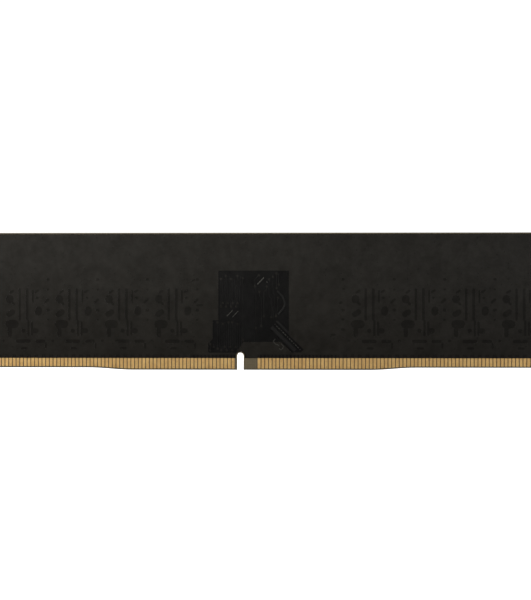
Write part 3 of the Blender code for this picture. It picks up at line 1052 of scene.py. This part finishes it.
ARRAY_LOW, ARRAY_HIGH = box_mm("data_resistor_array_1")
ARRAY_Z = (ARRAY_LOW.z + ARRAY_HIGH.z) / 2
ARRAY_WIDTH = ARRAY_HIGH.x - ARRAY_LOW.x
ARRAY_DEPTH = ARRAY_HIGH.z - ARRAY_LOW.z
ARRAY_THICKNESS = ARRAY_HIGH.y - ARRAY_LOW.y
ARRAY_PITCH = 0.5
DATA_WIDTH = 0.14
FIDUCIALS = ((-62.6, 27.4), (59.4, 27.6), (-62.6, 5.4))
FIDUCIAL_WIDTH = 1.0
MARK_GAP = 0.22  # from a part to the print round it
MARK_LENGTH = 0.9
MARK_WIDTH = 0.13
MARK_DOT = 0.4
DATA_WINDOW = (7.0, 7.6, 3.0)  # round the data lines of each package: middle Z, width, height
CENTRE_WINDOW = [(-16.6, 4.3), (19.0, 4.3), (19.0, 22.6), (16.0, 25.6), (-13.6, 25.6), (-16.6, 22.6)]
CENTRE_REACH = (-17.2, 19.6, 26.2)  # as WINDOW_REACH, on this face
CENTRE_BUNDLES = (  # how many traces run side by side, then the points that their middle runs through
    (7, [(-14.4, 4.8), (-14.4, 12.4), (-11.4, 15.4), (-11.4, 22.4)]),
    (6, [(-9.6, 4.8), (-9.6, 9.6), (-7.4, 11.8), (-7.4, 21.0), (-9.4, 23.0)]),
    (6, [(3.2, 4.9), (3.2, 9.8), (5.0, 11.6), (5.0, 20.4), (7.0, 22.4)]),
    (7, [(16.4, 5.0), (16.4, 10.4), (14.6, 12.2), (14.6, 21.2)]),
)


def data_routes(x):
    """The eight data lines from a package's resistor array up to its balls."""
    turn = ARRAY_Z + ARRAY_DEPTH / 2 + 0.55
    end = PACKAGE_Z - PACKAGE_HEIGHT / 2 + 0.6
    routes = []
    for number in range(8):
        offset = number - 3.5
        terminal = x + offset * ARRAY_PITCH
        ball = x + offset * BALL_PITCH
        reach = abs(ball - terminal)
        points = [(terminal, ARRAY_Z + 0.6), (terminal, turn), (ball, turn + reach), (ball, end)]
        routes.append((DATA_WIDTH, points))
    return routes


def centre_routes():
    """Address and command lines that climb from the middle contacts and turn off to both sides."""
    routes = [route for count, points in CENTRE_BUNDLES for route in bundle(count, points)]
    routes += [serpentine(8.6 + 1.5 * number, 5.2, 20.2 - number, 0.85) for number in range(3)]
    return [*routes, serpentine(-4.6, 17.2, 24.0, 0.9)]


def package_marks(x):
    """Printed lines at a package's corners, and a dot beside its first ball."""
    side = PACKAGE_WIDTH / 2 + MARK_GAP
    top = PACKAGE_Z + PACKAGE_HEIGHT / 2 + MARK_GAP
    bottom = PACKAGE_Z - PACKAGE_HEIGHT / 2
    marks = [dot(x - side - 0.4, PACKAGE_Z + 4.6, MARK_DOT)]
    for way in (-1, 1):
        corner = x + way * side
        marks.append(rectangle(corner - way * MARK_LENGTH / 2, top, MARK_LENGTH, MARK_WIDTH))
        marks.append(rectangle(corner, top - (MARK_LENGTH + MARK_WIDTH) / 2, MARK_WIDTH, MARK_LENGTH))
        marks.append(rectangle(corner, bottom + MARK_LENGTH / 2, MARK_WIDTH, MARK_LENGTH))
    return marks


def make_marks():
    """The print on the front face, without lettering, and the bare discs that aim the placing machine."""
    marks = [mark for x in PACKAGE_XS for mark in package_marks(x)]
    low, high = box_mm("spd_chip_body")
    marks.append(dot(low.x - 0.5, high.z - 0.3, MARK_DOT))
    for node in ("bulk_capacitor_1", "bulk_capacitor_2"):
        low, high = box_mm(node)
        for x in (low.x - 2 * MARK_GAP, high.x + 2 * MARK_GAP):
            marks.append(rectangle(x, (low.z + high.z) / 2, MARK_WIDTH, high.z - low.z))
    ink = prisms(marks, POUR_TOP - OVERLAP, POUR_TOP + 0.008, side=FRONT)
    finish_piece("front_marking_ink", ink, [INK])
    discs = [dot(x, z, FIDUCIAL_WIDTH, 10) for x, z in FIDUCIALS]
    gold = prisms(discs, BASE_TOP - OVERLAP, BASE_TOP + 0.012, 0.004, FRONT)
    finish_piece("front_fiducials", gold, [GOLD])


def make_front_face():
    voids = [CENTRE_WINDOW]
    voids += [dot(x, z, 2 * FIDUCIAL_WIDTH, 10) for x, z in FIDUCIALS]
    routes = centre_routes()
    for x in PACKAGE_XS:
        voids.append(rectangle(x, *DATA_WINDOW))
        routes += data_routes(x)
    vias = []
    for x, z in stitching(FRONT_SCATTER):
        beside = all(abs(x - package_x) > PACKAGE_WIDTH / 2 + 0.3 for package_x in PACKAGE_XS)
        clear = all(math.hypot(x - a, z - b) > 1.5 * FIDUCIAL_WIDTH for a, b in FIDUCIALS)
        if clear and not kept_out(x, z, CENTRE_REACH) and (beside or z > 20.0):
            vias.append((x, z))
    make_face("front", FRONT, voids, routes, MASK_TRACE, vias)
    make_marks()


# ---- Memory packages ----

BALL_PITCH = 0.8
BALL_RADIUS = 0.22
BALL_COLUMNS = (-4, -3, -2, 2, 3, 4)
BALL_ROWS = range(-6, 7)
TIE_PITCH = 0.55


def package_mesh(thickness):
    """The moulded cap: sawn sides, slightly broken edges, and a shallow round mark over the first ball."""
    body = outward_mesh(box_shape((PACKAGE_WIDTH, thickness, PACKAGE_HEIGHT), bevel=0.035))
    sink = outward_mesh(disc_shape(0.42, 0.5, 0.08, (-2.9, thickness / 2 + 0.015, 4.6), 32))
    return smoothed(cut_out(body, sink))


def substrate_mesh(thickness):
    """The package's small circuit board, with the sawn ends of its copper tie bars along its sides."""
    shapes = [box_shape((PACKAGE_WIDTH, thickness, PACKAGE_HEIGHT), bevel=0.01, segments=1)]
    for across, run, axis in ((PACKAGE_WIDTH, PACKAGE_HEIGHT, 0), (PACKAGE_HEIGHT, PACKAGE_WIDTH, 2)):
        count = int((run - 1.0) / TIE_PITCH)
        for number in range(count + 1):
            along = (number - count / 2) * TIE_PITCH
            for way in (-1, 1):
                centre = [along, -thickness * 0.18, along]
                centre[axis] = way * across / 2
                size = [0.09, 0.035, 0.09]
                size[axis] = 0.006
                shapes.append(box_shape(size, centre, material_index=1))
    return merged(shapes)


def balls_mesh(thickness):
    """78 reflowed solder balls, flattened where they meet the board and the substrate."""
    ball = bmesh.new()
    bmesh.ops.create_uvsphere(ball, u_segments=12, v_segments=8, radius=BALL_RADIUS * MM)
    limit = thickness / 2 * MM
    for vertex in ball.verts:
        vertex.co.z = max(-limit, min(limit, vertex.co.z))
    bmesh.ops.rotate(ball, verts=ball.verts, cent=(0, 0, 0), matrix=Matrix.Rotation(math.pi / 2, 3, "X"))
    grid = [(column * BALL_PITCH, 0.0, row * BALL_PITCH) for row in BALL_ROWS for column in BALL_COLUMNS]
    return smoothed(outward_mesh(copies(plain_mesh(ball), [(place, 0.0) for place in grid])))


def make_packages():
    layers = (
        ("mould_cap", package_mesh, [MOULD], "mould_compound"),
        ("substrate", substrate_mesh, [SUBSTRATE, COPPER], "package_substrate"),
        ("solder_balls", balls_mesh, [SOLDER], "solder"),
    )
    boxes = [box_mm(f"dram_1_{name}") for name, *_ in layers]
    meshes = [layer[1](high.y - low.y) for layer, (low, high) in zip(layers, boxes)]
    for number, x in enumerate(PACKAGE_XS, 1):
        for (name, _, looks, slot), mesh, (low, high) in zip(layers, meshes, boxes):
            place = (x, (low.y + high.y) / 2, PACKAGE_Z)
            finish_piece(f"package_{number}_{name}", mesh, looks, [f"dram_{number}_{name}"], place)


# ---- Small parts ----

CHIP_KINDS = {  # length, width, thickness, end cap, with a glazed top or not, its materials, slot
    "capacitor": (1.0, 0.5, 0.5, 0.25, False, (CERAMIC, CERAMIC), "capacitor_ceramic"),
    "resistor": (1.0, 0.5, 0.34, 0.22, True, (ALUMINA, GLAZE), "resistor_ceramic"),
    "bulk": (2.0, 1.25, 0.85, 0.42, False, (CERAMIC, CERAMIC), "capacitor_ceramic"),
}


def wedge(x_low, x_high, z_inner, z_outer, height):
    """A solder fillet, with material 3: a low concave ramp that falls from z_inner to z_outer."""
    waist = z_inner + (z_outer - z_inner) * 0.35
    profile = [(height, z_inner), (height * 0.42, waist), (0.02, z_outer), (0.0, z_outer), (0.0, z_inner)]
    return painted(loft([[(x, y, z) for y, z in profile] for x in (x_low, x_high)]), 3)


def array_mesh():
    """A resistor array: white ceramic, a black glazed top, and eight tinned ends on each long side."""
    width, depth, thickness = ARRAY_WIDTH, ARRAY_DEPTH, ARRAY_THICKNESS
    body = thickness - 0.06
    shapes = [
        box_shape((width, body, depth - 0.16), (0, body / 2 + 0.02, 0), 0.02, 1, 0),
        box_shape((width - 0.16, 0.05, depth - 0.62), (0, body + 0.035, 0), 0.02, 2, 1),
    ]
    for number in range(8):
        x = (number - 3.5) * (width - 0.3) / 7
        for way in (-1, 1):
            centre = (x, (body + 0.05) / 2, way * (depth / 2 - 0.13))
            shapes.append(box_shape((0.28, body + 0.05, 0.26), centre, 0.03, 2, 2))
            shapes.append(wedge(x - 0.13, x + 0.13, way * depth / 2, way * (depth / 2 + 0.24), 0.26))
    return merged(shapes)


def chip_mesh(length, width, thickness, cap, glazed):
    """A two-ended chip part along X, with its end caps and its solder fillets."""
    middle = (0, thickness / 2, 0)
    if glazed:
        glaze = (length - 2 * cap - 0.02, 0.03, width - 0.04)
        shapes = [
            box_shape((length - 0.06, thickness - 0.05, width), middle, 0.015, 1, 0),
            box_shape(glaze, (0, thickness - 0.015, 0), 0.01, 1, 1),
        ]
    else:
        shapes = [box_shape((length - 0.1, thickness - 0.05, width - 0.05), middle, 0.04, 2, 0)]
    side, end = width / 2 - 0.02, length / 2
    for way in (-1, 1):
        centre = (way * (length - cap) / 2, thickness / 2, 0)
        shapes.append(box_shape((cap, thickness, width), centre, 0.05, 3, 2))
        fillet = wedge(-side, side, end - 0.02, end + 0.16, thickness * 0.5)
        turn = Matrix.Rotation(math.radians(90 * way), 3, "Y")
        bmesh.ops.rotate(fillet, verts=fillet.verts, cent=(0, 0, 0), matrix=turn)
        shapes.append(fillet)
    return merged(shapes)


def chip_group(name, kind, places, replaces=()):
    """Chip parts of one kind at (x, z, degrees) places, in one piece."""
    *shape, body_looks, slot = CHIP_KINDS[kind]
    slipped = []
    for x, z, angle in places:
        slip = draws.uniform(-0.03, 0.03)
        slipped.append(((x + slip, POUR_TOP, z), angle + draws.uniform(-1.5, 1.5)))
    mesh = smoothed(outward_mesh(copies(chip_mesh(*shape), slipped)))
    finish_piece(name, mesh, [*body_looks, TIN, SOLDER], replaces)


def package_capacitors(x):
    """The decoupling capacitors round one package."""
    places = [(x + 1.55 * number, 20.3, 90) for number in (-2, -1, 0, 1, 2)]
    places += [(x + 1.55 * number, 22.6, 0) for number in (-1.5, 0, 1.5)]
    places += [(x + 5.7, 9.4 + 2.1 * number, 90) for number in range(5)]
    return [place for place in places if abs(place[0]) < HALF_LENGTH - 3]


def make_small_parts():
    array = array_mesh()
    nodes = [f"data_resistor_array_{number}" for number in range(1, 9)]
    nodes += [f"termination_resistor_array_{number}" for number in (1, 2)]
    for node in nodes:
        low, high = box_mm(node)
        turn = 90 if high.z - low.z > high.x - low.x else 0
        place = ((low.x + high.x) / 2, POUR_TOP, (low.z + high.z) / 2)
        looks = [ALUMINA, GLAZE, TIN, SOLDER]
        finish_piece(f"{node}_detail", array, looks, [node], place, turn)
    for number, x in enumerate(PACKAGE_XS, 1):
        chip_group(f"package_{number}_capacitors", "capacitor", package_capacitors(x))
    bulk = [f"bulk_capacitor_{number}" for number in (1, 2)]
    middles = [(box_mm(node)[0] + box_mm(node)[1]) / 2 for node in bulk]
    chip_group("bulk_capacitors", "bulk", [(middle.x, middle.z, 0) for middle in middles], bulk)

    centre = [(x, 27.4, 0) for x in (-10.4, -7.2, -4.0, 4.0, 7.2)]
    centre += [(x, 8.6, 90) for x in (-2.9, -1.4, 0.1)]
    centre += [(17.8, 7.2 + 2.3 * number, 90) for number in range(7)]
    chip_group("centre_capacitors", "capacitor", centre)
    resistors = [(-0.4 + 1.3 * number, 11.2, 90) for number in range(-2, 3)]
    resistors += [(-0.4 + 1.3 * number, 18.4, 90) for number in range(-1, 2)]
    resistors += [(62.75, 19.6 + 1.9 * number, 90) for number in range(5)]
    chip_group("small_resistors", "resistor", resistors)


def make_spd_chip():
    """The small chip's moulded body, with four flush metal ends on each long side."""
    low, high = box_mm("spd_chip_body")
    width, depth, thickness = high.x - low.x, high.z - low.z, high.y - low.y
    shapes = [box_shape((width, thickness - 0.02, depth), (0, thickness / 2 + 0.01, 0), 0.03, 2, 0)]
    mark = disc_shape(0.16, 0.15, 0.01, (-width / 2 + 0.4, thickness, depth / 2 - 0.4), 24)
    shapes.append(painted(mark, 2))
    for number in range(4):
        x = (number - 1.5) * 0.65
        for way in (-1, 1):
            shapes.append(box_shape((0.26, 0.18, 0.3), (x, 0.1, way * (depth / 2 - 0.13)), 0.01, 1, 1))
            inner, outer = way * (depth / 2 + 0.02), way * (depth / 2 + 0.25)
            shapes.append(wedge(x - 0.12, x + 0.12, inner, outer, 0.14))
    middle = (low + high) / 2
    looks = [MOULD, TIN, GLAZE, SOLDER]
    place = (middle.x, low.y, middle.z)
    finish_piece("spd_chip", merged(shapes), looks, ["spd_chip_body"], place)


def finish_hidden_nodes():
    """The CAD nodes that no piece replaces: laminates, and what is inside the board and the packages."""
    looks = {"laminate": LAMINATE, "plane": COPPER, "_die": SILICON, "_pad": SOLDER}
    for name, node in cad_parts.items():
        if node.hide_render:
            continue
        material = [look for word, look in looks.items() if word in name][-1]
        node.data.materials.clear()
        node.data.materials.append(material)


make_camera()
make_world()
make_lights()
make_floor()
make_contacts()
make_back_face()
make_front_face()
make_packages()
make_small_parts()
make_spd_chip()
finish_hidden_nodes()

bpy.context.scene.view_settings.view_transform = "Standard"
